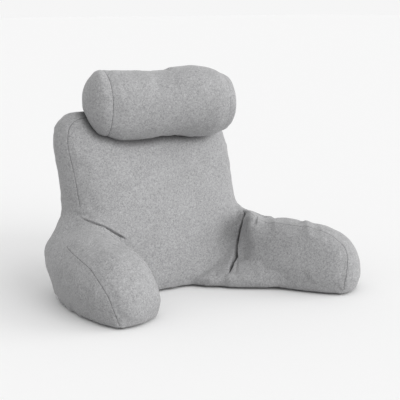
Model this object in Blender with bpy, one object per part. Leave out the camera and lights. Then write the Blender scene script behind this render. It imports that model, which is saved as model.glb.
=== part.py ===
"""A reading pillow: a leaning back cushion with two armrests and a neck roll.

It stands free on the floor. X runs across it, the sitter faces -Y, and Z is up.
The origin is on the floor, under the middle of the back cushion.
Each of the four stuffed pieces is one closed solid. Its sewn panels are regions of
its surface, parted by the shallow grooves that the seams pull in.
"""

import math

import bmesh
import bpy
from mathutils import Matrix, Vector

# Driving dimensions, in metres.
BACK_HEIGHT = 0.445
BACK_FRONT_AT_FLOOR = -0.054
BACK_LEAN = 0.27
BACK_TOP_BOXING = 0.068
BACK_SIDE_BOXING = 0.088
BACK_BASE_BOXING = 0.150
BACK_FRONT_CROWN = 0.052
BACK_REAR_CROWN = 0.030
BACK_BOXING_BULGE = 0.012
BACK_WAIST_HEIGHT = 0.27
# The upper back leans this far to the left, from this height to that.
BACK_TOP_SHIFT = 0.009
BACK_TOP_SHIFT_FROM_TO = (0.30, 0.40)
BACK_MIDDLE_HEIGHT = 0.20
# The top edge sags under the neck roll: how deep, how far to each side, and how quickly
# the sag fades out downwards (a power of the height's share).
BACK_TOP_SAG = 0.016
BACK_TOP_SAG_REACH = 0.20
BACK_TOP_SAG_FADE = 4
# The foot of the front panel: its height, how much it fills out, and how much more it does
# so for each metre to the right, between these two places.
BACK_FOOT_HEIGHT = 0.11
BACK_FOOT_BULGE = 0.012
BACK_FOOT_SKEW = 0.20
BACK_FOOT_SKEW_FROM_TO = (-0.06, 0.14)

ARM_HEIGHT = 0.172
ARM_INNER_CROWN = 0.018
ARM_OUTER_CROWN = 0.025
ARM_BOXING_BULGE = 0.014
ARM_MIDDLE_SHARES = (0.48, 0.46)
# How far behind the front end the root starts to draw in, the length that the inner side
# takes to do so, and the height below which it does so less.
ARM_PINCH_STARTS = 0.24
ARM_INNER_PINCH_LENGTH = 0.10
ARM_PINCH_FULL_HEIGHT = 0.10
# Where behind the front end an armrest starts to climb, and over what length.
ARM_CLIMB_STARTS = 0.03
ARM_CLIMB_LENGTH = 0.12

# The roll's length between its two end seams, and how far each round end panel domes out.
ROLL_LENGTH = 0.314
ROLL_DOMES = (0.049, 0.035)

SEAM_DEPTH = 0.0035
CONTACT_GAP = 0.0003

# How full the stuffed panels and strips are: a panel's profile is
# (1 - share ** flatness) ** roundness, a strip's a half sine to the power given.
PANEL_FLATNESS = 2.4
PANEL_ROUNDNESS = 0.62
BULGE_ROUNDNESS = 0.8
END_FLATNESS = 2.1
END_ROUNDNESS = 0.5

# Points round each outline. The solids stay light and their outlines still look round.
BACK_POINTS = 60
ARM_POINTS = 44
ROLL_POINTS = 36
SPLINE_STEPS = 16
ARM_LINE_STEPS = 24

# Outline of the back's front panel, up one side: height and half width.
BACK_OUTLINE = (
    (-0.085, 0.110),
    (-0.065, 0.160),
    (-0.020, 0.192),
    (0.035, 0.212),
    (0.085, 0.234),
    (0.140, 0.250),
    (0.190, 0.241),
    (0.260, 0.240),
    (0.340, 0.242),
    (0.380, 0.237),
    (0.412, 0.224),
    (0.430, 0.197),
    (0.436, 0.150),
    (0.434, 0.070),
)

# Side outline of an armrest's front part, from its underside round its front end to
# its top: distance behind the front end and height.
ARM_FRONT = (
    (0.320, -0.008),
    (0.190, -0.008),
    (0.060, -0.008),
    (-0.002, 0.004),
    (-0.012, 0.045),
    (-0.001, 0.094),
    (0.038, 0.133),
    (0.102, 0.153),
    (0.165, 0.163),
    (0.240, 0.169),
    (0.310, 0.176),
)
# Its root end, from top to bottom: distance short of its whole length, and height.
ARM_ROOT = (
    (0.030, 0.158),
    (0.000, 0.090),
    (0.015, 0.018),
)

# Low on its inner side the right armrest's cloth fills the corner to the back like a web:
# how far behind the front end it starts and is whole, and its height.
ARM_WEB_FROM_TO = (0.145, 0.300)
ARM_WEB_HEIGHT = 0.036

# Where each armrest stands, in metres and degrees: its side, the foot of its front end,
# its length with the root, the width of its strip, its swing out from straight ahead at
# the root and at the front end, how evenly it bends between them (1 is evenly, less is
# mostly near the front end), its outward roll, the change of its height from the middle
# on and at the root, how far its inner and outer sides draw in at the root, and how far
# its web reaches in.
ARMS = (
    {
        "name": "arm_left", "side": -1, "foot": (-0.236, -0.256), "length": 0.385, "boxing": 0.130,
        "swings": (22, -14), "bend": 0.50, "roll": 16, "climbs": (-0.005, 0.012),
        "pinches": (0.86, 0.60), "web": 0.0,
    },
    {
        "name": "arm_right", "side": 1, "foot": (0.319, -0.356), "length": 0.455, "boxing": 0.136,
        "swings": (-4, 39), "bend": 1.0, "roll": 19, "climbs": (-0.013, -0.014),
        "pinches": (0.88, 0.2), "web": 0.105,
    },
)

# The neck roll along its length: share of the length from its left end, radius, and how
# far its lower half sags over the back's front edge.
ROLL_SHAPE = (
    (0.00, 0.0775, 0.013),
    (0.14, 0.0800, 0.017),
    (0.33, 0.0812, 0.012),
    (0.57, 0.0850, 0.001),
    (0.79, 0.0878, 0.001),
    (0.92, 0.0842, 0.006),
    (1.00, 0.0780, 0.005),
)
# The sag goes this much forward for each metre down.
ROLL_SAG_LEAN = 0.6
ROLL_MIDDLE = (0.011, 0.0125, 0.461)
ROLL_YAW = -12
ROLL_TILT = 2

# Where the rings of a panel, a boxing strip, the roll's wrap and its end panels stand,
# as shares of the way across each.
PANEL_RINGS = (0.22, 0.42, 0.60, 0.76, 0.88, 0.96)
BOXING_RINGS = (0.06, 0.30, 0.50, 0.70, 0.94)
WRAP_RINGS = (0.02, 0.12, 0.25, 0.38, 0.50, 0.62, 0.75, 0.88, 0.98)
END_RINGS = (0.25, 0.50, 0.72, 0.88, 0.97)
# The last ring inside a panel's seam, at about one seam width from it.
PANEL_EDGE = 0.97

FABRIC = {"name": "heather_grey_cloth", "colour": (0.42, 0.42, 0.43, 1.0), "roughness": 0.95}


def clear_scene():
    for thing in list(bpy.data.objects):
        bpy.data.objects.remove(thing, do_unlink=True)


def fabric():
    """The brushed grey cloth that covers every piece."""
    material = bpy.data.materials.get(FABRIC["name"])
    if material is None:
        material = bpy.data.materials.new(FABRIC["name"])
        material.use_nodes = True
        shader = material.node_tree.nodes["Principled BSDF"]
        shader.inputs["Base Color"].default_value = FABRIC["colour"]
        shader.inputs["Roughness"].default_value = FABRIC["roughness"]
        shader.inputs["Metallic"].default_value = 0.0
    return material


def closed_spline(rows, count):
    """count points, evenly spaced by length, on a smooth closed curve through rows."""
    dense = []
    size = len(rows)
    for i in range(size):
        p0, p1, p2, p3 = (Vector(rows[(i + k) % size]) for k in (-1, 0, 1, 2))
        for step in range(SPLINE_STEPS):
            t = step / SPLINE_STEPS
            point = 0.5 * (
                2 * p1
                + (p2 - p0) * t
                + (2 * p0 - 5 * p1 + 4 * p2 - p3) * t ** 2
                + (3 * p1 - p0 - 3 * p2 + p3) * t ** 3
            )
            dense.append(point)
    lengths = [0.0]
    for i in range(len(dense)):
        lengths.append(lengths[-1] + (dense[(i + 1) % len(dense)] - dense[i]).length)
    points = []
    segment = 0
    for k in range(count):
        target = lengths[-1] * k / count
        while lengths[segment + 1] < target:
            segment += 1
        share = (target - lengths[segment]) / (lengths[segment + 1] - lengths[segment])
        points.append(dense[segment].lerp(dense[(segment + 1) % len(dense)], share))
    return points


def smooth(share):
    share = min(1.0, max(0.0, share))
    return share * share * (3 - 2 * share)


def ease(share):
    """Height of a stuffed panel at that share of the way out to its seam, 1 in the middle."""
    return (1 - share ** PANEL_FLATNESS) ** PANEL_ROUNDNESS


def boxed_cushion(name, outline, middle, boxing, crowns, bulge, place):
    """One closed solid: a front panel, a boxing strip round its edge, and a rear panel.

    outline is the seam's outline, middle the point that the panels' rings shrink to.
    boxing(a, b) is the strip's width there, crowns the front and rear panels' rise,
    bulge the strip's swell, and place(a, b, c) puts a point in the world.
    """
    mesh = bmesh.new()
    middle = Vector(middle)
    rings = []

    def ring(share, depth, swell=0.0):
        points = []
        for i, edge in enumerate(outline):
            ahead = outline[(i + 1) % len(outline)] - outline[i - 1]
            outward = Vector((ahead.y, -ahead.x)).normalized()
            flat = middle + (edge - middle) * share + outward * swell
            points.append(mesh.verts.new(place(flat.x, flat.y, depth(edge, flat))))
        rings.append(points)

    def front(share, sink=0.0):
        return lambda edge, flat: -crowns[0] * ease(share) + sink

    def rear(share, sink=0.0):
        return lambda edge, flat: boxing(flat.x, flat.y) + crowns[1] * ease(share) - sink

    first = mesh.verts.new(place(middle.x, middle.y, -crowns[0]))
    for share in PANEL_RINGS + (PANEL_EDGE,):
        ring(share, front(share))
    ring(1.0, front(1.0, SEAM_DEPTH / 2), -SEAM_DEPTH)
    for across in BOXING_RINGS:
        swell = bulge * math.sin(math.pi * across) ** BULGE_ROUNDNESS
        ring(1.0, lambda edge, flat, across=across: boxing(edge.x, edge.y) * across, swell)
    ring(1.0, rear(1.0, SEAM_DEPTH / 2), -SEAM_DEPTH)
    for share in reversed(PANEL_RINGS + (PANEL_EDGE,)):
        ring(share, rear(share))
    last = mesh.verts.new(place(middle.x, middle.y, boxing(middle.x, middle.y) + crowns[1]))

    count = len(outline)
    for i in range(count):
        j = (i + 1) % count
        mesh.faces.new((first, rings[0][i], rings[0][j]))
        for near, far in zip(rings, rings[1:]):
            mesh.faces.new((near[i], far[i], far[j], near[j]))
        mesh.faces.new((rings[-1][i], last, rings[-1][j]))
    return finished(name, mesh)


def finished(name, mesh):
    """An object from the mesh, its normals out and its underside cut level with the floor."""
    bmesh.ops.recalc_face_normals(mesh, faces=mesh.faces)
    everything = mesh.verts[:] + mesh.edges[:] + mesh.faces[:]
    cut = bmesh.ops.bisect_plane(
        mesh, geom=everything, plane_co=(0, 0, 0), plane_no=(0, 0, 1), clear_inner=True
    )
    rim = [edge for edge in cut["geom_cut"] if isinstance(edge, bmesh.types.BMEdge)]
    if rim:
        bmesh.ops.contextual_create(mesh, geom=rim)
        bmesh.ops.recalc_face_normals(mesh, faces=mesh.faces)
    bmesh.ops.triangulate(mesh, faces=mesh.faces)
    data = bpy.data.meshes.new(name)
    mesh.to_mesh(data)
    mesh.free()
    thing = bpy.data.objects.new(name, data)
    data.materials.append(fabric())
    data.shade_smooth()
    return thing


def back_front(height):
    """How far back the front panel's seam stands at that height."""
    return BACK_FRONT_AT_FLOOR + BACK_LEAN * height


def back_boxing(x, height):
    """Width of the back's boxing strip: deep at the floor, slimmer from the waist up."""
    low = smooth(1 - height / BACK_WAIST_HEIGHT)
    high = smooth((height - BACK_WAIST_HEIGHT) / (BACK_HEIGHT - BACK_WAIST_HEIGHT))
    slimming = (BACK_SIDE_BOXING - BACK_TOP_BOXING) * high
    return BACK_SIDE_BOXING - slimming + (BACK_BASE_BOXING - BACK_SIDE_BOXING) * low


def back_cushion():
    half = [Vector((width, height)) for height, width in BACK_OUTLINE]
    mirrored = [Vector((-p.x, p.y)) for p in reversed(half)]
    outline = closed_spline([tuple(p) for p in half + mirrored], BACK_POINTS)
    skew_from, skew_to = BACK_FOOT_SKEW_FROM_TO
    shift_from, shift_to = BACK_TOP_SHIFT_FROM_TO

    def place(x, height, depth):
        foot = smooth(1 - height / BACK_FOOT_HEIGHT) * max(0.0, -depth / BACK_FRONT_CROWN)
        depth -= foot * (BACK_FOOT_BULGE + BACK_FOOT_SKEW * max(skew_from, min(skew_to, x)))
        sideways = math.cos(math.pi / 2 * min(1, abs(x) / BACK_TOP_SAG_REACH))
        sag = BACK_TOP_SAG * sideways * max(0, height / BACK_HEIGHT) ** BACK_TOP_SAG_FADE
        shift = BACK_TOP_SHIFT * smooth((height - shift_from) / (shift_to - shift_from))
        return Vector((x - shift, back_front(height) + depth, height - sag))

    return boxed_cushion(
        "back_cushion",
        outline,
        (0.0, BACK_MIDDLE_HEIGHT),
        back_boxing,
        (BACK_FRONT_CROWN, BACK_REAR_CROWN),
        BACK_BOXING_BULGE,
        place,
    )


def arm_line(arm, behind):
    """Point on the arm's middle line, that far behind its front end, and the heading there."""
    side = arm["side"]
    root, tip = (math.radians(angle) for angle in arm["swings"])

    def heading(distance):
        swing = tip + (root - tip) * max(0, distance / arm["length"]) ** arm["bend"]
        return Vector((side * math.sin(swing), -math.cos(swing), 0))

    point = Vector((*arm["foot"], 0))
    for step in range(ARM_LINE_STEPS):
        point -= heading(behind * (step + 0.5) / ARM_LINE_STEPS) * behind / ARM_LINE_STEPS
    return point, heading(behind)


def armrest(arm):
    """A boxed cushion on its side, swung out and rolled outwards on its lower edge."""
    rows = list(ARM_FRONT) + [(arm["length"] - short, height) for short, height in ARM_ROOT]
    outline = closed_spline(rows[::-1], ARM_POINTS)
    side = arm["side"]
    roll = math.radians(arm["roll"])
    boxing = arm["boxing"]
    inner_pinch, outer_pinch = arm["pinches"]
    web_from, web_to = ARM_WEB_FROM_TO
    whole_climb, root_climb = arm["climbs"]

    def place(behind, height, depth):
        point, forward = arm_line(arm, behind)
        outward = Vector((-forward.y, forward.x, 0)) * side
        rootward = smooth((behind - ARM_PINCH_STARTS) / (arm["length"] - ARM_PINCH_STARTS))
        across = depth - boxing / 2
        if across < 0:
            pinch = inner_pinch * smooth((behind - ARM_PINCH_STARTS) / ARM_INNER_PINCH_LENGTH)
            across *= 1 - pinch * smooth(height / ARM_PINCH_FULL_HEIGHT)
        else:
            across *= 1 - outer_pinch * rootward
        climb = whole_climb * smooth((behind - ARM_CLIMB_STARTS) / ARM_CLIMB_LENGTH)
        height *= 1 + (climb + root_climb * rootward) / ARM_HEIGHT
        out = across * math.cos(roll) + height * math.sin(roll)
        up = height * math.cos(roll) - across * math.sin(roll)
        web = arm["web"] * min(1, max(0, (behind - web_from) / (web_to - web_from)))
        inner_share = min(1, max(0, 1 - depth / boxing))
        out -= web * smooth(1 - height / ARM_WEB_HEIGHT) * inner_share
        return point + outward * out + Vector((0, 0, up))

    return boxed_cushion(
        arm["name"],
        outline,
        (arm["length"] * ARM_MIDDLE_SHARES[0], ARM_HEIGHT * ARM_MIDDLE_SHARES[1]),
        lambda behind, height: boxing,
        (ARM_INNER_CROWN, ARM_OUTER_CROWN),
        ARM_BOXING_BULGE,
        place,
    )


def roll_shape(share):
    """The neck roll's radius and sag at that share of its length."""
    for near, far in zip(ROLL_SHAPE, ROLL_SHAPE[1:]):
        if share <= far[0]:
            blend = smooth((share - near[0]) / (far[0] - near[0]))
            return tuple(near[i] + (far[i] - near[i]) * blend for i in (1, 2))
    return ROLL_SHAPE[-1][1:]


def neck_roll():
    """A bolster: a long tube of cloth with a domed disc sewn into each end."""
    half = ROLL_LENGTH / 2
    left_dome, right_dome = ROLL_DOMES
    rows = []
    rises = [(share, (1 - share ** END_FLATNESS) ** END_ROUNDNESS) for share in END_RINGS]
    left_radius, left_sag = roll_shape(0)
    right_radius, right_sag = roll_shape(1)
    for share, rise in rises:
        rows.append((-half - left_dome * rise, left_radius * share, left_sag * share))
    rows.append((-half, left_radius - SEAM_DEPTH, left_sag))
    for share in WRAP_RINGS:
        rows.append((ROLL_LENGTH * (share - 0.5), *roll_shape(share)))
    rows.append((half, right_radius - SEAM_DEPTH, right_sag))
    for share, rise in reversed(rises):
        rows.append((half + right_dome * rise, right_radius * share, right_sag * share))
    turn = Matrix.Rotation(math.radians(ROLL_YAW), 3, "Z") @ Matrix.Rotation(math.radians(ROLL_TILT), 3, "Y")
    mesh = bmesh.new()
    rings = []
    for along, radius, sag in rows:
        ring = []
        for i in range(ROLL_POINTS):
            angle = 2 * math.pi * i / ROLL_POINTS
            drop = sag * max(0, -math.sin(angle))
            ahead = radius * math.cos(angle) - drop * ROLL_SAG_LEAN
            local = Vector((along, ahead, radius * math.sin(angle) - drop))
            ring.append(mesh.verts.new(turn @ local + Vector(ROLL_MIDDLE)))
        rings.append(ring)
    ends = [
        mesh.verts.new(turn @ Vector((along, 0, 0)) + Vector(ROLL_MIDDLE))
        for along in (-half - left_dome, half + right_dome)
    ]
    for i in range(ROLL_POINTS):
        j = (i + 1) % ROLL_POINTS
        mesh.faces.new((ends[0], rings[0][i], rings[0][j]))
        for near, far in zip(rings, rings[1:]):
            mesh.faces.new((near[i], far[i], far[j], near[j]))
        mesh.faces.new((rings[-1][i], ends[1], rings[-1][j]))
    return finished("neck_roll", mesh)


def pressed_into(thing, cutter):
    """thing gives way to cutter where they meet, and keeps the contact gap to it."""
    boolean = thing.modifiers.new("gives_way", "BOOLEAN")
    boolean.operation = "DIFFERENCE"
    boolean.solver = "EXACT"
    boolean.object = cutter


def swollen_copy(thing, cutters):
    """A hidden copy of thing, larger all round by the contact gap, to cut with."""
    copy = bpy.data.objects.new(thing.name + "_cutter", thing.data.copy())
    swell = copy.modifiers.new("contact_gap", "DISPLACE")
    swell.strength = CONTACT_GAP
    swell.mid_level = 0.0
    copy.hide_render = True
    copy.display_type = "WIRE"
    cutters.objects.link(copy)
    return copy


def main():
    clear_scene()
    pillow = bpy.data.collections.new("reading_pillow")
    cutters = bpy.data.collections.new("cutters")
    for group in (pillow, cutters):
        bpy.context.scene.collection.children.link(group)
    back = back_cushion()
    pillow.objects.link(back)
    back_cutter = swollen_copy(back, cutters)
    for piece in [armrest(arm) for arm in ARMS] + [neck_roll()]:
        pillow.objects.link(piece)
        pressed_into(piece, back_cutter)


main()
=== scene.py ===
"""The looks of a reading pillow: stuffed covers of brushed heather-grey jersey.

One cover runs over the back and both armrests, and the neck roll has a cover of its own.
Lengths are in metres, except where a name or a comment says mm.
"""

import math

import bmesh
import bpy
import numpy as np
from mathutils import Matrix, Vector, noise
from mathutils.bvhtree import BVHTree
from mathutils.kdtree import KDTree


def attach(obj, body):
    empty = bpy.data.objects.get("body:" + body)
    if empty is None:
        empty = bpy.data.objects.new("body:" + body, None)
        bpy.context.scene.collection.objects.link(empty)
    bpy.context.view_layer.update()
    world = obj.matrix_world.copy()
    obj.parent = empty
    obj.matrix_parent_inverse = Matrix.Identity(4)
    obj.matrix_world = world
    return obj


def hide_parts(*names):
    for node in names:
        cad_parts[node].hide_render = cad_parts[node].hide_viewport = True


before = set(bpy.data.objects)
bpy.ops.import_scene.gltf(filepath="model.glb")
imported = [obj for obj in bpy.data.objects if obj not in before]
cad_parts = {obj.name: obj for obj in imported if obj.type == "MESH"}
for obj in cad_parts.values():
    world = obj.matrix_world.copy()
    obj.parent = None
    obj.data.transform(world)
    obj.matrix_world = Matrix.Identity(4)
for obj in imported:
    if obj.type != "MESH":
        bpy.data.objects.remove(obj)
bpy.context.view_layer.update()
scene = bpy.context.scene

# The cover of the back and both armrests.
# One cover of brushed jersey, sewn from panels with their seams turned in and stuffed with
# loose fibre. It runs on from the back's sides over the armrests, and creases at their roots.

MM = 0.001
BODY_NODES = ("back_cushion", "arm_left", "arm_right")
BODY_VOXEL = 9 * MM
# Each seam is followed along the edges where the solids fold inwards at least this much.
SEAM_FOLD = math.radians(-28)
# It is drawn with points a step apart, and evened out as it is laid on the cover.
LINE_STEP = 2 * MM
LINE_ROUNDS = 24
# Left out are seams on the floor, level seams lower than this, seams that another piece
# covers, and pieces of seam shorter than this.
ON_FLOOR = 1 * MM
LOW_SEAM = 36 * MM
LEVEL_SLOPE = 0.5
COVERED = 6 * MM
SHORTEST_SEAM = 150 * MM
# The right armrest's inner seam goes on down to its toe. Corners in mm.
RIGHT_TOE = ((291, -377, 102), (283, -387, 78), (275, -392, 51), (269, -393, 30), (272, -390, 12))
# The left armrest's outer seam, as its cover is pulled round its end. Corners in mm.
LEFT_SEAM = (
    (-314, -56, 150), (-321, -90, 144), (-328, -142, 137), (-331, -178, 131), (-333, -207, 122),
    (-334, -228, 109), (-331, -248, 92), (-328, -265, 72), (-322, -274, 47), (-314, -277, 24), (-304, -278, 1),
)
# Where the left armrest's solid has that seam's lower end, in mm.
LEFT_SOLID_TOE = (-301, -281, 13)


def welded(node):
    """A mesh of the node's solid, with its loose triangles joined."""
    mesh = bmesh.new()
    mesh.from_mesh(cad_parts[node].data)
    bmesh.ops.remove_doubles(mesh, verts=mesh.verts, dist=0.01 * MM)
    bmesh.ops.recalc_face_normals(mesh, faces=mesh.faces)
    return mesh


def evenly(corners):
    """Points a step apart on a smooth curve through these corners."""
    corners = [Vector(corner) for corner in corners]
    padded = [corners[0] * 2 - corners[1]] + corners + [corners[-1] * 2 - corners[-2]]
    points = []
    for p0, p1, p2, p3 in zip(padded, padded[1:], padded[2:], padded[3:]):
        count = max(1, round((p2 - p1).length / LINE_STEP))
        for k in range(count):
            t = k / count
            points.append(0.5 * (
                2 * p1
                + (p2 - p0) * t
                + (2 * p0 - 5 * p1 + 4 * p2 - p3) * t ** 2
                + (3 * p1 - p0 - 3 * p2 + p3) * t ** 3
            ))
    return points + [corners[-1]]


def line_through(corners_mm):
    return evenly([[value * MM for value in corner] for corner in corners_mm])


def followed(edges):
    """Chains of corners, end to end, along these edges."""
    links = {}
    for edge in edges:
        for corner in edge.verts:
            links.setdefault(corner, []).append(edge)
    left = set(edges)
    chains = []
    ends = [corner for corner, near in links.items() if len(near) != 2]
    for corner in ends + list(links):
        edge = next((e for e in links[corner] if e in left), None)
        while edge is not None:
            chain = [corner.co.copy()]
            here = corner
            while edge is not None:
                left.discard(edge)
                here = edge.other_vert(here)
                chain.append(here.co.copy())
                onward = [e for e in links[here] if e in left]
                edge = onward[0] if len(links[here]) == 2 and onward else None
            chains.append(chain)
            edge = next((e for e in links[corner] if e in left), None)
    return chains


def seam_lines(nodes):
    """The seams of these nodes as smooth lines, without the parts that another node covers."""
    meshes = {node: welded(node) for node in nodes}
    trees = {node: BVHTree.FromBMesh(mesh) for node, mesh in meshes.items()}
    lines = []
    for node, mesh in meshes.items():
        others = [tree for name, tree in trees.items() if name != node]
        sewn = []
        for edge in mesh.edges:
            if not edge.is_manifold or edge.calc_face_angle_signed() > SEAM_FOLD:
                continue
            middle = (edge.verts[0].co + edge.verts[1].co) / 2
            run = edge.verts[0].co - edge.verts[1].co
            underfoot = middle.z < ON_FLOOR or middle.z < LOW_SEAM and abs(run.z) < LEVEL_SLOPE * run.length
            if not underfoot and all(tree.find_nearest(middle, COVERED)[0] is None for tree in others):
                sewn.append(edge)
        smooth = [evenly(chain) for chain in followed(sewn)]
        lines += [line for line in smooth if len(line) * LINE_STEP > SHORTEST_SEAM]
    for mesh in meshes.values():
        mesh.free()
    return lines


body_lines = seam_lines(BODY_NODES)


def seam_to(corner_mm):
    """The body's seam that has an end nearest to this place, turned to end there."""
    place = Vector(corner_mm) * MM
    line = min(body_lines, key=lambda line: min((line[0] - place).length, (line[-1] - place).length))
    return line if (line[-1] - place).length < (line[0] - place).length else line[::-1]


right_seam = seam_to(RIGHT_TOE[0])
left_solid_seam = seam_to(LEFT_SOLID_TOE)
redrawn = (right_seam[0], right_seam[-1], left_solid_seam[0], left_solid_seam[-1])
body_lines = [line for line in body_lines if line[0] not in redrawn]
toe = [right_seam[-1]] + [Vector(corner) * MM for corner in RIGHT_TOE]
body_lines.append(right_seam + evenly(toe)[1:])
body_lines.append(evenly([Vector(corner) * MM for corner in LEFT_SEAM]))

# The cover starts as one skin of even faces round the three solids, a little outside them.

SKIN_SWELL_MM = 0.6


def points_of(mesh):
    flat = np.empty(len(mesh.vertices) * 3)
    mesh.vertices.foreach_get("co", flat)
    return flat.reshape(-1, 3)


def set_points(mesh, points):
    mesh.vertices.foreach_set("co", points.ravel())
    mesh.update()


def normals_of(mesh):
    flat = np.empty(len(mesh.vertices) * 3)
    mesh.vertices.foreach_get("normal", flat)
    return flat.reshape(-1, 3)


def applied(piece):
    """Replaces the piece's mesh with what its modifiers make of it."""
    seen = piece.evaluated_get(bpy.context.evaluated_depsgraph_get())
    mesh = bpy.data.meshes.new_from_object(seen)
    piece.modifiers.clear()
    piece.data = mesh
    return piece


def skin(name, nodes, voxel):
    """One closed mesh of even faces round these nodes together."""
    whole = bmesh.new()
    for node in nodes:
        mesh = welded(node)
        for corner in mesh.verts:
            corner.co += corner.normal * SKIN_SWELL_MM * MM
        data = bpy.data.meshes.new(node)
        mesh.to_mesh(data)
        mesh.free()
        whole.from_mesh(data)
        bpy.data.meshes.remove(data)
    data = bpy.data.meshes.new(name)
    whole.to_mesh(data)
    whole.free()
    piece = bpy.data.objects.new(name, data)
    scene.collection.objects.link(piece)
    remesh = piece.modifiers.new("skin", "REMESH")
    remesh.mode = "VOXEL"
    remesh.voxel_size = voxel
    return applied(piece)


body = skin("pillow_cover", BODY_NODES, BODY_VOXEL)

# The skin is eased where the armrests meet the back, and sags onto the floor.
# Amounts from 0 to 1 say how far each point is drawn to its neighbours in each round.

RESTING = 2 * MM
JUNCTION_REACH = (8 * MM, 45 * MM)
JUNCTION_EASE, JUNCTION_ROUNDS = 0.6, 30
# Only the armrests' outer sides are eased, so that their inner roots keep their fold: how far
# back the easing starts and is full, this far from the middle, and further forward outside it.
OUTER_FROM, OUTER_TO = -90 * MM, -20 * MM
OUTER_MIDDLE = 250 * MM
OUTER_SLANT = 0.4
SKIN_EASE, SKIN_ROUNDS = 0.3, 2
# Beside the right root's crease, the back's front is eased up to it.
BRIDGE_REACH = (30 * MM, 48 * MM)
BRIDGE_START = (1 * MM, 6 * MM)
BRIDGE_EASE, BRIDGE_ROUNDS = 0.6, 40
# Cloth that faces down, below this height, sags by this share of its height.
SAG_HEIGHT = (24 * MM, 34 * MM)
SAG_FACING = (0.15, 0.5)
SAG_SHARE = 0.85
FOOT_HEIGHT = (12 * MM, 24 * MM)
FOOT_EASE, FOOT_ROUNDS = 0.4, 3
# How far from a seam the cloth is eased flat, where the seam is drawn elsewhere or its groove
# is too deep.
GROOVE_REACH = (8 * MM, 22 * MM)
GROOVE_EASE, GROOVE_ROUNDS = 0.6, 24
# The armrests' inner roots, where their cloth meets the back's: the right and the left.
BODY_CREASES = (
    ((232, -44, 160), (219, -66, 145), (211, -74, 132), (204, -74, 110), (192, -82, 91), (157, -116, 77),
     (122, -141, 53), (86, -168, 35)),
    ((-243, 8, 198), (-229, -17, 189), (-208, -32, 177), (-190, -42, 167), (-171, -49, 155), (-156, -55, 145),
     (-142, -60, 134)),
)


def edges_of(mesh):
    """A mesh's edges as pairs of point numbers."""
    flat = np.empty(len(mesh.edges) * 2, dtype=np.int32)
    mesh.edges.foreach_get("vertices", flat)
    return flat.reshape(-1, 2)


def tree_of(mesh):
    return BVHTree.FromPolygons([v.co for v in mesh.vertices], [tuple(p.vertices) for p in mesh.polygons])


def smooth_step(value, low, high):
    share = np.clip((value - low) / (high - low), 0, 1)
    return share * share * (3 - 2 * share)


def relax(points, edges, amount, rounds):
    """Draws each point towards the middle of its neighbours, by its own amount."""
    count = np.bincount(edges.ravel(), minlength=len(points))[:, None]
    for _ in range(rounds):
        total = np.zeros_like(points)
        for axis in range(3):
            total[:, axis] += np.bincount(edges[:, 0], points[edges[:, 1], axis], len(points))
            total[:, axis] += np.bincount(edges[:, 1], points[edges[:, 0], axis], len(points))
        points = points + (total / count - points) * amount[:, None]
    return points


def nearest(points, places):
    """Distance from each point to the nearest of these places, and that place's number."""
    tree = KDTree(len(places))
    for number, place in enumerate(places):
        tree.insert(place, number)
    tree.balance()
    found = [tree.find(point) for point in points]
    return np.array([hit[2] for hit in found]), np.array([hit[1] for hit in found])


def laid(mesh, lines):
    """Where these lines run on the mesh: places, the side that each looks to, and how far
    it is from its line's nearer end."""
    tree = tree_of(mesh)
    places, sides, inside = [], [], []
    for line in lines:
        drawn = np.array([tree.find_nearest(point)[0] for point in line])
        for _ in range(LINE_ROUNDS):
            drawn[1:-1] = (drawn[:-2] + drawn[1:-1] * 2 + drawn[2:]) / 4
        hits = [tree.find_nearest(Vector(point)) for point in drawn]
        for k, (place, normal, _, _) in enumerate(hits):
            ahead = hits[min(k + 1, len(hits) - 1)][0] - hits[max(k - 1, 0)][0]
            places.append(tuple(place))
            sides.append(tuple(ahead.cross(normal).normalized()))
            inside.append(min(k, len(hits) - 1 - k) * LINE_STEP)
    return np.array(places), np.array(sides), np.array(inside)


def junction_places():
    """Points on the armrests' solids where they meet the back's."""
    meshes = {node: welded(node) for node in BODY_NODES}
    back = BVHTree.FromBMesh(meshes["back_cushion"])
    found = []
    for node in ("arm_left", "arm_right"):
        for corner in meshes[node].verts:
            if back.find_nearest(corner.co, 1 * MM)[0] is not None:
                found.append(tuple(corner.co))
    for mesh in meshes.values():
        mesh.free()
    return found


points = points_of(body.data)
edges = edges_of(body.data)
loose = np.where(points[:, 2] < RESTING, 0, 1)
near_junction = 1 - smooth_step(nearest(points, junction_places())[0], *JUNCTION_REACH)
behind = points[:, 1] + OUTER_SLANT * (np.abs(points[:, 0]) - OUTER_MIDDLE)
outer = smooth_step(behind, OUTER_FROM, OUTER_TO)
points = relax(points, edges, JUNCTION_EASE * near_junction * outer * loose, JUNCTION_ROUNDS)
points = relax(points, edges, SKIN_EASE * loose, SKIN_ROUNDS)
set_points(body.data, points)
creases = [line_through(line) for line in BODY_CREASES]
places, sides, _ = laid(body.data, creases[:1])
gap, number = nearest(points, places)
across = ((points - places[number]) * sides[number]).sum(axis=1)
bridge = (1 - smooth_step(gap, *BRIDGE_REACH)) * smooth_step(across, *BRIDGE_START)
points = relax(points, edges, BRIDGE_EASE * bridge * loose, BRIDGE_ROUNDS)
set_points(body.data, points)
under = smooth_step(-normals_of(body.data)[:, 2], *SAG_FACING) * (1 - smooth_step(points[:, 2], *SAG_HEIGHT))
points[:, 2] *= 1 - SAG_SHARE * under
foot = 1 - smooth_step(points[:, 2], *FOOT_HEIGHT)
points = relax(points, edges, FOOT_EASE * foot * loose, FOOT_ROUNDS)
set_points(body.data, points)
groove = 1 - smooth_step(nearest(points, laid(body.data, [left_solid_seam])[0])[0], *GROOVE_REACH)
points = relax(points, edges, GROOVE_EASE * groove * loose, GROOVE_ROUNDS)
set_points(body.data, points)

# The stuffing: the skin starts slack by a few millimetres and is blown up as cloth. Its seams
# and the part on the floor are held, and it ends within a few millimetres of its solids.

FILL_FRAMES = 20
FILL_PRESSURE = 6
FILL_SLACK = 3 * MM
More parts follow.
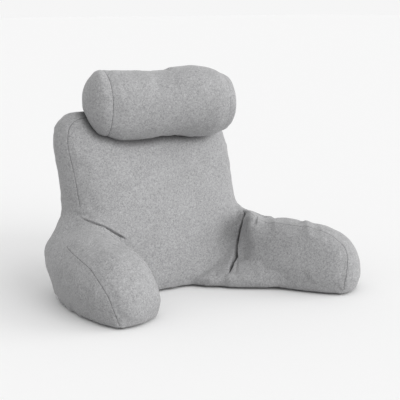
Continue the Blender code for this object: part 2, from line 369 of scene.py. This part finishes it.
# How far from its solid the filled skin may end, inwards and outwards, and how far it may slide.
FILL_CAPS = (-2.5 * MM, 2.5 * MM)
FILL_SLIDE = 1.5 * MM
SEAM_HOLD = 0.9
BODY_HOLD_WIDTH = 6 * MM


def filled(piece, held):
    """Fills the skin under pressure. held says, from 0 to 1, how firmly each point stays."""
    mesh = piece.data
    start = points_of(mesh)
    slack = start - normals_of(mesh) * FILL_SLACK * (1 - held)[:, None]
    set_points(mesh, slack)
    group = piece.vertex_groups.new(name="held")
    for number in np.nonzero(held > 0.01)[0]:
        group.add([int(number)], float(held[number]), "REPLACE")
    cloth = piece.modifiers.new("filling", "CLOTH")
    cloth.settings.quality = 6
    cloth.settings.mass = 0.002
    cloth.settings.tension_stiffness = 15
    cloth.settings.compression_stiffness = 15
    cloth.settings.shear_stiffness = 5
    cloth.settings.bending_stiffness = 0.05
    cloth.settings.shrink_min = -0.05
    cloth.settings.use_pressure = True
    cloth.settings.uniform_pressure_force = FILL_PRESSURE
    cloth.settings.effector_weights.gravity = 0
    cloth.settings.vertex_group_mass = group.name
    cloth.collision_settings.use_collision = False
    cloth.point_cache.frame_start = 1
    cloth.point_cache.frame_end = FILL_FRAMES
    for step in range(1, FILL_FRAMES + 1):
        scene.frame_set(step)
    seen = piece.evaluated_get(bpy.context.evaluated_depsgraph_get())
    moved = points_of(seen.data) - start
    piece.modifiers.clear()
    piece.vertex_groups.clear()
    scene.frame_set(1)
    set_points(mesh, start)
    outward = normals_of(mesh)
    away = (moved * outward).sum(axis=1)
    sideways = moved - outward * away[:, None]
    length = np.linalg.norm(sideways, axis=1)
    sideways *= np.minimum(1, FILL_SLIDE / np.maximum(length, 1e-9))[:, None]
    capped = np.clip(away, *FILL_CAPS)
    set_points(mesh, start + sideways + outward * capped[:, None])


gap = nearest(points, laid(body.data, body_lines)[0])[0]
held = SEAM_HOLD * np.exp(-(gap / BODY_HOLD_WIDTH) ** 2)
held[points[:, 2] < RESTING] = 1
filled(body, held)

# Creases, pleats and ripples of the cover. Each is a line in mm over the cloth that sinks or
# rises, and fades out to its ends. A shoulder is a slight rise on both its sides. A bank is a
# higher one on its left: its height, and how far out it is highest.

RIGHT_ROOT_FOLDS = (
    # The crease itself, a hollow beside it, and four pleats that run off it.
    {"line_mm": BODY_CREASES[0], "half_width_mm": 3.2, "rise_mm": -9, "shoulder_mm": 0.8, "bank_mm": (5, 9)},
    {"line_mm": ((196, -118, 146), (176, -132, 116), (154, -148, 84), (134, -166, 54)),
     "half_width_mm": 20, "rise_mm": -10},
    {"line_mm": ((184, -120, 149), (179, -119, 131), (175, -113, 112)),
     "half_width_mm": 3, "rise_mm": -3.5, "shoulder_mm": 0.8},
    {"line_mm": ((160, -114, 84), (141, -137, 63), (115, -164, 47), (97, -184, 36)),
     "half_width_mm": 3, "rise_mm": -2.5, "shoulder_mm": 0.8},
    {"line_mm": ((214, -122, 169), (192, -146, 165), (182, -156, 156), (176, -158, 146)),
     "half_width_mm": 3.5, "rise_mm": -4, "shoulder_mm": 0.8},
    {"line_mm": ((262, -100, 168), (237, -125, 170), (205, -162, 168)), "half_width_mm": 24, "rise_mm": -6},
)
LEFT_ROOT_FOLDS = (
    # A soft fold off the back, the crease inside the armrest, and two ridges on top.
    {"line_mm": ((-246, 15, 201), (-233, -10, 201), (-219, -19, 200)),
     "half_width_mm": 6, "rise_mm": -3, "shoulder_mm": 1.0},
    {"line_mm": BODY_CREASES[1], "half_width_mm": 2.1, "rise_mm": -5.5, "shoulder_mm": 0.7},
    {"line_mm": ((-275, -32, 167), (-251, -53, 172), (-233, -78, 172), (-226, -124, 168)),
     "half_width_mm": 8, "rise_mm": 2.2},
    {"line_mm": ((-273, -125, 163), (-252, -132, 166), (-229, -159, 163)), "half_width_mm": 7, "rise_mm": 1.5},
)
SIDE_RIPPLES = (
    # Three on the back's left edge, and three in the left armrest's outer side.
    {"line_mm": ((-232, 32, 369), (-190, 18, 364), (-148, 8, 360)), "half_width_mm": 6, "rise_mm": -1.3},
    {"line_mm": ((-228, 25, 352), (-190, 12, 348), (-158, 2, 344)), "half_width_mm": 6, "rise_mm": -1.1},
    {"line_mm": ((-235, 24, 334), (-203, 10, 331), (-171, -1, 328)), "half_width_mm": 6, "rise_mm": -1.0},
    {"line_mm": ((-310, 18, 147), (-324, 0, 126), (-336, -18, 105)), "half_width_mm": 8, "rise_mm": -1.6},
    {"line_mm": ((-306, 0, 150), (-326, -28, 118), (-342, -57, 83)), "half_width_mm": 8, "rise_mm": 1.4},
    {"line_mm": ((-325, -67, 142), (-338, -90, 108), (-348, -114, 73)), "half_width_mm": 8, "rise_mm": -1.2},
)
FOOT_FOLDS = (
    # The upper edge of the right armrest's low cloth, both toes' corners, and a pucker by one.
    {"line_mm": ((79, -173, 32), (110, -203, 33), (139, -234, 30), (182, -272, 29), (200, -307, 26),
                 (251, -378, 26)), "half_width_mm": 5, "rise_mm": -0.8, "shoulder_mm": 0.3},
    {"line_mm": ((-304, -277, 6), (-305, -278, 2)), "half_width_mm": 13, "rise_mm": 4},
    {"line_mm": ((272, -389, 8), (274, -388, 2)), "half_width_mm": 12, "rise_mm": 4},
    {"line_mm": ((250, -382, 23), (261, -387, 16), (269, -389, 9)), "half_width_mm": 3, "rise_mm": -4.5},
)
# How wide and deep a sewn seam sinks, how strongly each crease shows like one, and where a
# seam shows less: the place in mm, the reach, and the strength there. A crease that shows
# like a seam also gets the seam's dark line, as painted shade in the crease.
SEAM_WIDTH = 3.0 * MM
BODY_SEAM_DEPTH = 1.4 * MM
CREASE_STRENGTHS = [1.5, 0.9]
BODY_FADES = (
    {"at_mm": (-300, 30, 150), "reach_mm": 85, "strength": 0.0},
    {"at_mm": (-240, 0, 180), "reach_mm": 50, "strength": 0.2},
    {"at_mm": (-142, -60, 134), "reach_mm": 24, "strength": 0.0},
)
SEAM_END = 10 * MM
BODY_SWELL_MM = 1.2
# How far from a line the mesh is made finer.
SEAM_FINE = 7 * MM
CREASE_FINE = 5 * MM
FOOT_FINE = 4 * MM


def doubled(piece):
    """Doubles the mesh's fineness all over."""
    subdivision = piece.modifiers.new("finer", "SUBSURF")
    subdivision.levels = 1
    subdivision.render_levels = 1
    applied(piece)


def finer(piece, places, reach):
    """Doubles the mesh's fineness within reach of these places."""
    near = nearest(points_of(piece.data), places)[0] < reach
    mesh = bmesh.new()
    mesh.from_mesh(piece.data)
    bmesh.ops.triangulate(mesh, faces=mesh.faces)
    mesh.verts.ensure_lookup_table()
    short = [edge for edge in mesh.edges if near[edge.verts[0].index] and near[edge.verts[1].index]]
    bmesh.ops.subdivide_edges(mesh, edges=short, cuts=1)
    bmesh.ops.triangulate(mesh, faces=mesh.faces)
    mesh.to_mesh(piece.data)
    mesh.free()
    points = points_of(piece.data)
    soft = np.where(nearest(points, places)[0] < reach * 1.1, 0.4, 0.0)
    soft[points[:, 2] < ON_FLOOR] = 0
    set_points(piece.data, relax(points, edges_of(piece.data), soft, 2))


def stitched(piece, lines, strengths, depth, fades=()):
    """Sinks the cover along its seams. Keeps each point's distance to the nearest seam, its
    distance to the seam's one side or other, and how strongly that seam shows."""
    mesh = piece.data
    places, sides, inside = laid(mesh, lines)
    shows = np.concatenate([np.full(len(line), strength) for line, strength in zip(lines, strengths)])
    shows = shows * smooth_step(inside, 0, SEAM_END)
    for fade in fades:
        away = np.linalg.norm(places - np.array(fade["at_mm"]) * MM, axis=1) / (fade["reach_mm"] * MM)
        shows *= fade["strength"] + (1 - fade["strength"]) * smooth_step(away, 0.7, 1.0)
    points = points_of(mesh)
    gap, number = nearest(points, places)
    across = ((points - places[number]) * sides[number]).sum(axis=1)
    sunk = depth * np.exp(-(gap / SEAM_WIDTH) ** 2) * shows[number]
    set_points(mesh, points - normals_of(mesh) * sunk[:, None])
    for name, values in (("seam_mm", gap / MM), ("seam_side_mm", across / MM), ("seam_and_crease_line", shows[number])):
        kept = mesh.attributes.new(name, "FLOAT", "POINT")
        kept.data.foreach_set("value", np.clip(values, -50, 50).astype(np.float32))
    return gap


def uneven(piece, gap, swell_mm):
    """Gives the stuffing slight lumps and hollows, about 110 and 40 mm wide, off the seams."""
    points = points_of(piece.data)
    broad = np.array([noise.noise(Vector(point) * 9.0) for point in points])
    small = np.array([noise.noise(Vector(point) * 26.0 + Vector((7, 3, 1))) for point in points])
    amount = (broad + 0.35 * small) * swell_mm * MM * (0.3 + 0.7 * smooth_step(gap, 0, 30 * MM))
    amount *= smooth_step(points[:, 2], 0, 12 * MM)
    set_points(piece.data, points + normals_of(piece.data) * amount[:, None])


def folded(piece, folds):
    """Sinks or raises the cover along each of these folds."""
    points = points_of(piece.data)
    normals = normals_of(piece.data)
    change = np.zeros(len(points))
    for fold in folds:
        line = line_through(fold["line_mm"])
        places, sides, inside = laid(piece.data, [line])
        gap, number = nearest(points, places)
        half = fold["half_width_mm"] * MM
        taper = smooth_step(inside[number], 0, max(0.3 * inside.max(), 4 * MM)) if len(line) > 3 else 1.0
        change += fold["rise_mm"] * MM * taper * np.exp(-(gap / half) ** 2)
        shoulder = fold.get("shoulder_mm", 0.0)
        change += shoulder * MM * taper * np.exp(-((gap - 2.0 * half) / half) ** 2)
        if "bank_mm" in fold:
            height, top = (value * MM for value in fold["bank_mm"])
            across = ((points - places[number]) * sides[number]).sum(axis=1)
            out = np.clip(across, 0, None) / top
            change += height * taper * out * np.exp(1 - np.maximum(out, gap / top)) * (gap < 8 * top)
    set_points(piece.data, points + normals * change[:, None])


pleats = [line_through(fold["line_mm"]) for fold in RIGHT_ROOT_FOLDS[2:]]
doubled(body)
finer(body, laid(body.data, body_lines + creases + pleats)[0], SEAM_FINE)
finer(body, laid(body.data, creases + pleats[:2])[0], CREASE_FINE)
points = points_of(body.data)
finer(body, points[(points[:, 2] > 0.5 * MM) & (points[:, 2] < 6 * MM)], FOOT_FINE)
strengths = [1.0] * len(body_lines) + CREASE_STRENGTHS
# The root creases go in with the seams: they sink, and the seams' dark line in them is painted shade.
gap = stitched(body, body_lines + creases, strengths, BODY_SEAM_DEPTH, BODY_FADES)
uneven(body, gap, BODY_SWELL_MM)
folded(body, RIGHT_ROOT_FOLDS + LEFT_ROOT_FOLDS + SIDE_RIPPLES + FOOT_FOLDS)

# The right armrest's top slumps unevenly from its root to its tip. Each pair says how far
# sideways over the pillow the place is, and how much the top rises there, both in mm.

RIGHT_TOP = (
    (190, 0), (206, 9), (222, 9), (230, 6.5), (238, 2), (246, -2), (254, -6), (262, -9), (270, -10),
    (278, -8.5), (286, -5.5), (302, -4.5), (318, -2.5), (342, -1), (358, 0), (366, 3), (374, 2), (382, -1),
    (390, -2), (398, -1.5), (414, -2.3), (438, -5), (454, -4.5), (470, -5.5), (486, -2.3), (500, 0),
)
# The heights between which the slump fades in and out again, and how far out it starts.
RIGHT_TOP_FROM = (115 * MM, 150 * MM)
RIGHT_TOP_TO = (190 * MM, 225 * MM)
RIGHT_TOP_START = (130 * MM, 170 * MM)


def rise_along(points, table):
    """How much each point rises. The places are counted along the way (0.8, -0.6, 0)."""
    along = points[:, 0] * 0.80 - points[:, 1] * 0.60
    return np.interp(along, [at * MM for at, _ in table], [up * MM for _, up in table])


points = points_of(body.data)
share = smooth_step(points[:, 2], *RIGHT_TOP_FROM) * (1 - smooth_step(points[:, 2], *RIGHT_TOP_TO))
points[:, 2] += rise_along(points, RIGHT_TOP) * share * smooth_step(points[:, 0], *RIGHT_TOP_START)
set_points(body.data, points)

# The foot turns in under the cover all round. Where the right armrest's low cloth ends, it is
# lifted a little higher off the floor.

TUCK_HEIGHT, TUCK_DEPTH = 6 * MM, 13 * MM
LIFT_PLACE = (188 * MM, -236 * MM)
LIFT_REACH, LIFT_HEIGHT, LIFT_DEPTH = 20 * MM, 17 * MM, 20 * MM
RIM_FROM, RIM_TO = 10 * MM, 15 * MM


def tucked(piece):
    """Draws the foot of the cover in under itself. Returns how far in each point is, from 0
    to 1."""
    points = points_of(piece.data)
    normals = normals_of(piece.data)
    lift = np.exp(-(np.linalg.norm(points[:, :2] - np.array(LIFT_PLACE), axis=1) / LIFT_REACH) ** 2)
    high = TUCK_HEIGHT + lift * (LIFT_HEIGHT - TUCK_HEIGHT)
    deep = TUCK_DEPTH + lift * (LIFT_DEPTH - TUCK_DEPTH)
    upright = np.abs(normals[:, 2]) < 0.8
    rim = np.nonzero((points[:, 2] > RIM_FROM) & (points[:, 2] < RIM_TO) & upright)[0]
    low = np.nonzero(points[:, 2] < RIM_TO + 1 * MM)[0]
    level = np.array((1, 1, 0))
    gap, number = nearest(points[low] * level, points[rim] * level)
    side = normals[rim[number]] * level
    side /= np.linalg.norm(side, axis=1)[:, None]
    inwards = 1 - smooth_step(points[low, 2] / high[low], 0.35, 1.0)
    inwards = inwards * deep[low] * np.clip(1 - gap / (4 * deep[low]), 0, 1)
    points[low] -= side * inwards[:, None]
    set_points(piece.data, points)
    return 1 - smooth_step(points[:, 2] / high, 0.25, 1.1)


# How far the foot turns in is kept as painted shade at the floor.
foot_painted_shade = tucked(body)
points = points_of(body.data)
points[:, 2] = np.maximum(points[:, 2], 0)
set_points(body.data, points)
body.data.shade_smooth()

# The cloth is brushed polyester jersey, knitted from light and dark grey fibres. The eye sees
# short worms of fibre, a soft nap that is paler at its edges, and thin dark lines at the seams.
# Painted shade darkens it along the armrests' root creases, near where the roll meets the back,
# and at the foot where the cover turns in under itself.

CLOTH_DARK, CLOTH_LIGHT = "#838384", "#b8b8b9"
# Fibres are about 1 mm apart and worms about 4 mm long, as coarse as the picture can show.
FIBRES_PER_MM = 0.9
WORMS_PER_MM = 0.26
CLOUD = 62.5 * MM
CLOUD_SHADE = (0.97, 1.03)
NAP_RELIEF = 0.9 * MM
# How dark the line at the seams gets; along the creases the same line is painted shade.
SEAM_AND_CREASE_DARK = 0.42
# How dark the painted shade gets where the cloth is closed in by the other piece or at the floor.
PAINTED_SHADE_DARK = 0.7


def colour(code):
    """A hex colour as the linear values that the shader takes."""
    values = [int(code[k : k + 2], 16) / 255 for k in (1, 3, 5)]
    return [v / 12.92 if v < 0.04045 else ((v + 0.055) / 1.055) ** 2.4 for v in values] + [1.0]


def add(tree, kind, inputs, **settings):
    """A node with these settings. Each input is a value, or the socket that feeds it."""
    node = tree.nodes.new(kind)
    for name, value in settings.items():
        setattr(node, name, value)
    for name, value in inputs.items():
        if isinstance(value, bpy.types.NodeSocket):
            tree.links.new(value, node.inputs[name])
        else:
            node.inputs[name].default_value = value
    return node


def brushed_jersey():
    material = bpy.data.materials.new("heather_cloth")
    material.use_nodes = True
    tree = material.node_tree
    shader = tree.nodes["Principled BSDF"]
    place = add(tree, "ShaderNodeTexCoord", {}).outputs["Object"]
    kept = {
        name: add(tree, "ShaderNodeAttribute", {}, attribute_name=name).outputs["Fac"]
        for name in ("seam_mm", "seam_side_mm", "seam_and_crease_line", "painted_contact_shade")
    }

    fibre = add(tree, "ShaderNodeTexNoise", {"Vector": place, "Scale": FIBRES_PER_MM / MM, "Detail": 2.0})
    worm = add(
        tree, "ShaderNodeTexNoise",
        {"Vector": place, "Scale": WORMS_PER_MM / MM, "Detail": 2.0, "Distortion": 0.9},
    )
    cloud = add(tree, "ShaderNodeTexNoise", {"Vector": place, "Scale": 1 / CLOUD, "Detail": 3.0})
    both = add(tree, "ShaderNodeMath", {0: fibre.outputs["Fac"], 1: worm.outputs["Fac"]}, operation="ADD")
    mixed = add(tree, "ShaderNodeMath", {0: both.outputs[0], 1: 0.5}, operation="MULTIPLY")
    tones = add(tree, "ShaderNodeValToRGB", {"Fac": mixed.outputs[0]})
    tones.color_ramp.elements[0].position = 0.36
    tones.color_ramp.elements[0].color = colour(CLOTH_DARK)
    tones.color_ramp.elements[1].position = 0.66
    tones.color_ramp.elements[1].color = colour(CLOTH_LIGHT)
    shade = add(
        tree, "ShaderNodeMapRange",
        {"Value": cloud.outputs["Fac"], "From Min": 0.3, "From Max": 0.7,
         "To Min": CLOUD_SHADE[0], "To Max": CLOUD_SHADE[1]},
        interpolation_type="SMOOTHSTEP",
    )

    # A stitched line about 2 mm wide, on the seam itself and dark where the seam shows. Along the armrests'
    # root creases the same dark line is painted shade in the crease.
    side = add(tree, "ShaderNodeMath", {0: kept["seam_side_mm"]}, operation="ABSOLUTE")
    across = add(
        tree, "ShaderNodeMapRange",
        {"Value": side.outputs[0], "From Min": 0.5, "From Max": 1.7, "To Min": 1.0, "To Max": 0.0},
        interpolation_type="SMOOTHSTEP",
    )
    close = add(
        tree, "ShaderNodeMapRange",
        {"Value": kept["seam_mm"], "From Min": 3.0, "From Max": 6.0, "To Min": 1.0, "To Max": 0.0},
        interpolation_type="SMOOTHSTEP",
    )
    line = add(tree, "ShaderNodeMath", {0: across.outputs[0], 1: close.outputs[0]}, operation="MULTIPLY")
    line = add(tree, "ShaderNodeMath", {0: line.outputs[0], 1: kept["seam_and_crease_line"]}, operation="MULTIPLY")
    line = add(tree, "ShaderNodeMath", {0: line.outputs[0], 1: SEAM_AND_CREASE_DARK}, operation="MULTIPLY")
    line = add(tree, "ShaderNodeMath", {0: 1.0, 1: line.outputs[0]}, operation="SUBTRACT")
    # Painted shade: the cloth is darkened where the other piece closes it in, and where the foot turns in under
    # itself at the floor.
    painted_shade = add(tree, "ShaderNodeMath", {0: kept["painted_contact_shade"], 1: PAINTED_SHADE_DARK}, operation="MULTIPLY")
    painted_shade = add(tree, "ShaderNodeMath", {0: 1.0, 1: painted_shade.outputs[0]}, operation="SUBTRACT")
    dark = add(tree, "ShaderNodeMath", {0: line.outputs[0], 1: painted_shade.outputs[0]}, operation="MULTIPLY")
    dark = add(tree, "ShaderNodeMath", {0: shade.outputs[0], 1: dark.outputs[0]}, operation="MULTIPLY")
    tone = add(
        tree, "ShaderNodeVectorMath", {0: tones.outputs["Color"], "Scale": dark.outputs[0]}, operation="SCALE",
    )
    tree.links.new(tone.outputs["Vector"], shader.inputs["Base Color"])

    relief = add(tree, "ShaderNodeBump", {"Height": mixed.outputs[0], "Strength": 0.35, "Distance": NAP_RELIEF})
    tree.links.new(relief.outputs["Normal"], shader.inputs["Normal"])
    shader.inputs["Roughness"].default_value = 0.92
    shader.inputs["Specular IOR Level"].default_value = 0.25
    shader.inputs["Sheen Weight"].default_value = 0.25
    shader.inputs["Sheen Roughness"].default_value = 0.45
    return material


cloth = brushed_jersey()
body.data.materials.clear()
body.data.materials.append(cloth)
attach(body, "root")
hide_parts(*BODY_NODES)

# The neck roll.
# A stuffed tube of the same jersey, with a round panel sewn into each end. It rests against
# the back's top front edge, and sags a little in its middle.

ROLL_NODES = ("neck_roll",)
ROLL_VOXEL = 5 * MM
ROLL_HOLD_WIDTH = 5 * MM
ROLL_SEAM_DEPTH = 1.2 * MM
ROLL_SWELL_MM = 1.4
# The seam on the right end shows less than the one on the left.
ROLL_SEAM_SHOWS = (1.0, 0.45)
RING_ROUNDS = 14
RIGHT_RING_ROUNDS = 20
# The roll's top from its left end to its right, as for the armrest: places and rises in mm.
ROLL_TOP = (
    (-172, 0), (-160, 4), (-148, 6), (-137, 3), (-125, -2), (-101, -5), (-39, -7), (-8, -5), (23, -1.5),
    (48, 0), (72, 2), (130, 0),
)
ROLL_TOP_FROM = (450 * MM, 520 * MM)
# The roll is held where it touches the back, and stays this far off it.
TOUCHING = (3 * MM, 8 * MM)
CLEARANCE = 0.8 * MM
DEEPEST = 30 * MM
# How near the other piece the cloth is darkened with painted shade.
BODY_SHADE_REACH = 26 * MM
ROLL_SHADE_REACH = 11 * MM

roll_lines = seam_lines(ROLL_NODES)
roll = skin("neck_roll_cover", ROLL_NODES, ROLL_VOXEL)
points = points_of(roll.data)
points = relax(points, edges_of(roll.data), np.full(len(points), SKIN_EASE), SKIN_ROUNDS)
set_points(roll.data, points)
body_tree = tree_of(body.data)


def room(points):
    """How far each point is outside the body's cover, and which way is out."""
    hits = [body_tree.find_nearest(Vector(point)) for point in points]
    out = np.array([(Vector(point) - hit[0]).dot(hit[1]) for point, hit in zip(points, hits)])
    return out, np.array([tuple(hit[1]) for hit in hits])


gap = nearest(points, laid(roll.data, roll_lines)[0])[0]
held = SEAM_HOLD * np.exp(-(gap / ROLL_HOLD_WIDTH) ** 2)
held = np.maximum(held, 1 - smooth_step(room(points)[0], *TOUCHING))
filled(roll, held)
points = points_of(roll.data)
ring = 1 - smooth_step(nearest(points, laid(roll.data, roll_lines)[0])[0], *GROOVE_REACH)
points = relax(points, edges_of(roll.data), GROOVE_EASE * ring, RING_ROUNDS)
points = relax(points, edges_of(roll.data), GROOVE_EASE * ring * (points[:, 0] > 0), RIGHT_RING_ROUNDS)
points[:, 2] += rise_along(points, ROLL_TOP) * smooth_step(points[:, 2], *ROLL_TOP_FROM)
set_points(roll.data, points)
doubled(roll)
finer(roll, laid(roll.data, roll_lines)[0], SEAM_FINE)
strengths = [ROLL_SEAM_SHOWS[0] if line[0].x < 0 else ROLL_SEAM_SHOWS[1] for line in roll_lines]
gap = stitched(roll, roll_lines, strengths, ROLL_SEAM_DEPTH)
uneven(roll, gap, ROLL_SWELL_MM)
points = points_of(roll.data)
for _ in range(2):
    out, normals = room(points)
    short = np.where((out < CLEARANCE) & (out > -DEEPEST), CLEARANCE - out, 0)
    points = points + normals * short[:, None]
set_points(roll.data, points)
roll.data.shade_smooth()


def painted_contact_shade(piece, other, reach, foot):
    """Keeps how much painted shade each point gets: near the other piece, and where the foot turns in at the
    floor.
    """
    tree = tree_of(other.data)
    points = points_of(piece.data)
    hits = [tree.find_nearest(Vector(point), reach)[3] for point in points]
    gap = np.array([reach if hit is None else hit for hit in hits])
    close = np.maximum(1 - smooth_step(gap, 0, reach), foot)
    kept = piece.data.attributes.new("painted_contact_shade", "FLOAT", "POINT")
    kept.data.foreach_set("value", close.astype(np.float32))


painted_contact_shade(body, roll, BODY_SHADE_REACH, foot_painted_shade)
painted_contact_shade(roll, body, ROLL_SHADE_REACH, 0)
roll.data.materials.clear()
roll.data.materials.append(cloth)
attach(roll, "root")
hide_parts(*ROLL_NODES)

# The floor.
# Plain, pale and matt. It looks pale to the camera, and throws less of its light back up.

FLOOR_HALF = 40
FLOOR_DROP = 0.4 * MM
FLOOR_BOUNCE, FLOOR_SEEN = 0.62, 0.91

floor_mesh = bpy.data.meshes.new("floor")
corners = [(-FLOOR_HALF, -FLOOR_HALF, 0), (FLOOR_HALF, -FLOOR_HALF, 0), (FLOOR_HALF, FLOOR_HALF, 0),
           (-FLOOR_HALF, FLOOR_HALF, 0)]
floor_mesh.from_pydata(corners, [], [(0, 1, 2, 3)])
floor = bpy.data.objects.new("floor", floor_mesh)
floor.location.z = -FLOOR_DROP
scene.collection.objects.link(floor)
floor_paint = bpy.data.materials.new("floor_paint")
floor_paint.use_nodes = True
paint = floor_paint.node_tree.nodes["Principled BSDF"]
paint.inputs["Roughness"].default_value = 0.9
paint.inputs["Specular IOR Level"].default_value = 0.1
seen = add(floor_paint.node_tree, "ShaderNodeLightPath", {}).outputs["Is Camera Ray"]
pale = add(
    floor_paint.node_tree, "ShaderNodeMapRange", {"Value": seen, "To Min": FLOOR_BOUNCE, "To Max": FLOOR_SEEN},
)
floor_paint.node_tree.links.new(pale.outputs["Result"], paint.inputs["Base Color"])
floor_mesh.materials.append(floor_paint)

# The studio's light.
# An even pale sky, with a broad soft light in front and another low at the right.

SKY_LIGHT, SKY_SEEN = 0.79, 0.92

world = bpy.data.worlds.new("studio")
scene.world = world
world.use_nodes = True
sky = world.node_tree.nodes["Background"]
seen = add(world.node_tree, "ShaderNodeLightPath", {}).outputs["Is Camera Ray"]
strength = add(
    world.node_tree, "ShaderNodeMapRange", {"Value": seen, "To Min": SKY_LIGHT, "To Max": SKY_SEEN},
)
world.node_tree.links.new(strength.outputs["Result"], sky.inputs["Strength"])
sky.inputs["Color"].default_value = (1, 1, 1, 1)


def softbox(name, origin, energy):
    """A broad even light that shines from this side of the pillow."""
    light = bpy.data.lights.new(name, "SUN")
    light.energy = energy
    light.angle = math.radians(45)
    holder = bpy.data.objects.new(name, light)
    scene.collection.objects.link(holder)
    holder.location = origin
    holder.rotation_euler = (-Vector(origin)).to_track_quat("-Z", "Y").to_euler()


softbox("front", (0.30, -1.6, 0.62), 1.15)
softbox("right", (1.45, -0.80, 0.56), 1.08)

# The camera.
# It stands at the photograph's angle, in front and to the left, a little above the pillow.

EYE = Vector((-1.395, -2.014, 0.708))
LOOKED_AT = Vector((0.079, -0.057, 0.210))
camera = bpy.data.objects.new("camera", bpy.data.cameras.new("camera"))
camera.data.sensor_width = 36
camera.data.lens = 87.75
camera.location = EYE
camera.rotation_euler = (LOOKED_AT - EYE).to_track_quat("-Z", "Y").to_euler()
scene.collection.objects.link(camera)
scene.camera = camera
scene.view_settings.view_transform = "Standard"
